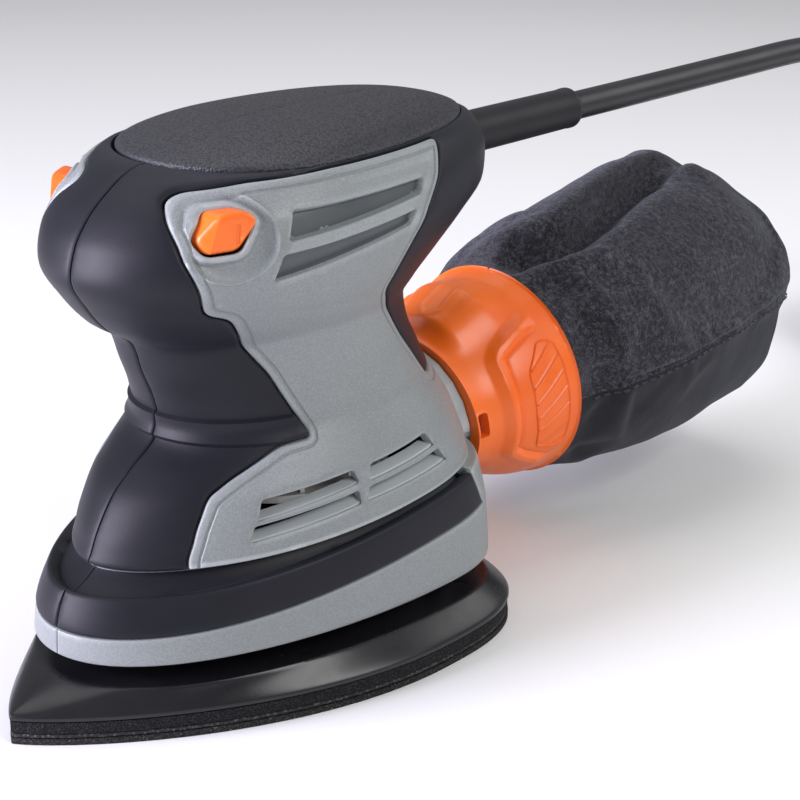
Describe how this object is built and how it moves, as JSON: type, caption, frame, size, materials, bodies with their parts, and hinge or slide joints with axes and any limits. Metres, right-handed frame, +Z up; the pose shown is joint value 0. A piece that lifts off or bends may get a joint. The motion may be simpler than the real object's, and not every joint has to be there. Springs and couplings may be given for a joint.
{
  "type": "detail mouse sander",
  "caption": "Palm-sized electric detail sander with a delta-shaped hook-and-loop pad, rubber grip, push-through switch, slide-off dust collar with a cloth bag, and a coiled cord with its plug.",
  "frame": {"origin": "on the motor's axis, at the working face of the sanding sheet", "axes": "+Z up along the motor's axis, +X from the pointed nose to the cord and dust bag, -Y the tool's left side"},
  "size_m": [0.5043, 0.1275, 0.1344],
  "materials": {
    "grey_plastic": "fine satin texture",
    "black_grip": "matte overmoulded rubber",
    "bumper_rubber": "matte",
    "pebbled_grip": "fine pebbled",
    "orange_plastic": "satin gloss",
    "button_plastic": "satin gloss",
    "bag_felt": "felted woven cloth",
    "black_plastic": "fine texture",
    "steel": "ground",
    "copper_wire": "enamelled copper",
    "carbon": "pressed carbon",
    "brass_parts": "bright",
    "fan_nylon": "moulded nylon",
    "leg_rubber": "matte",
    "cord_rubber": "smooth matte",
    "pad_foam": "fine closed-cell foam",
    "hook_nylon": "short nylon hooks",
    "abrasive_paper": "bonded grit on paper"
  },
  "bodies": {
    "housing": {"housing_left": "grey_plastic", "housing_right": "grey_plastic", "grip_cover_left": "black_grip", "grip_cover_right": "black_grip", "side_panel_left": "grey_plastic", "side_panel_right": "grey_plastic", "bumper_left": "bumper_rubber", "bumper_right": "bumper_rubber", "top_grip_pad": "pebbled_grip", "housing_screw_1": "steel", "housing_screw_2": "steel", "housing_screw_3": "steel", "housing_screw_4": "steel", "housing_screw_5": "steel", "motor_stator": "steel", "field_coil_left": "copper_wire", "field_coil_right": "copper_wire", "carbon_brush_front": "carbon", "carbon_brush_rear": "carbon", "brush_holder_front": "brass_parts", "brush_holder_rear": "brass_parts", "brush_spring_front": "steel", "brush_spring_rear": "steel", "upper_bearing": "steel", "lower_bearing": "steel", "upper_bearing_bracket": "black_plastic", "lower_bearing_plate": "black_plastic", "flexible_leg_1": "leg_rubber", "flexible_leg_2": "leg_rubber", "flexible_leg_3": "leg_rubber", "flexible_leg_4": "leg_rubber", "power_switch": "black_plastic", "dust_port": "grey_plastic", "cord_sleeve": "cord_rubber", "cord_lead": "cord_rubber", "cord_coil": "cord_rubber", "cord_tail": "cord_rubber", "plug_body": "black_plastic", "plug_pin_left": "brass_parts", "plug_pin_right": "brass_parts"},
    "rotor": {"rotor_shaft": "steel", "armature_core": "steel", "armature_winding_lower": "copper_wire", "armature_winding_upper": "copper_wire", "commutator": "copper_wire", "cooling_fan": "fan_nylon", "eccentric_weight": "steel", "pad_screw": "steel", "pad_washer": "steel"},
    "pad": {"platen": "black_plastic", "pad_bearing": "steel", "pad_foam": "pad_foam", "hook_layer": "hook_nylon", "sanding_sheet": "abrasive_paper"},
    "switch": {"switch_bar": "button_plastic"},
    "dust_box": {"dust_collar": "orange_plastic", "bag_frame": "black_plastic", "dust_bag": "bag_felt"}
  },
  "joints": [
    {"name": "rotor_spin", "type": "hinge", "parent": "housing", "child": "rotor", "pos_m": [0, 0, 0.06], "axis": [0, 0, 1], "continuous": true},
    {"name": "pad_orbit", "type": "hinge", "parent": "rotor", "child": "pad", "pos_m": [0.001, 0, 0.0195], "axis": [0, 0, 1], "continuous": true, "deforming": ["flexible_leg_1", "flexible_leg_2", "flexible_leg_3", "flexible_leg_4"]},
    {"name": "switch_push", "type": "slide", "parent": "housing", "child": "switch", "axis": [0, -1, 0], "range_m": [0, 0.0035]},
    {"name": "bag_slide", "type": "slide", "parent": "housing", "child": "dust_box", "axis": [0.9942, 0, 0.108], "range_m": [0, 0.045]}
  ],
  "couplings": [
    {"joint": "pad_orbit", "follows": "rotor_spin", "ratio": -1}
  ]
}
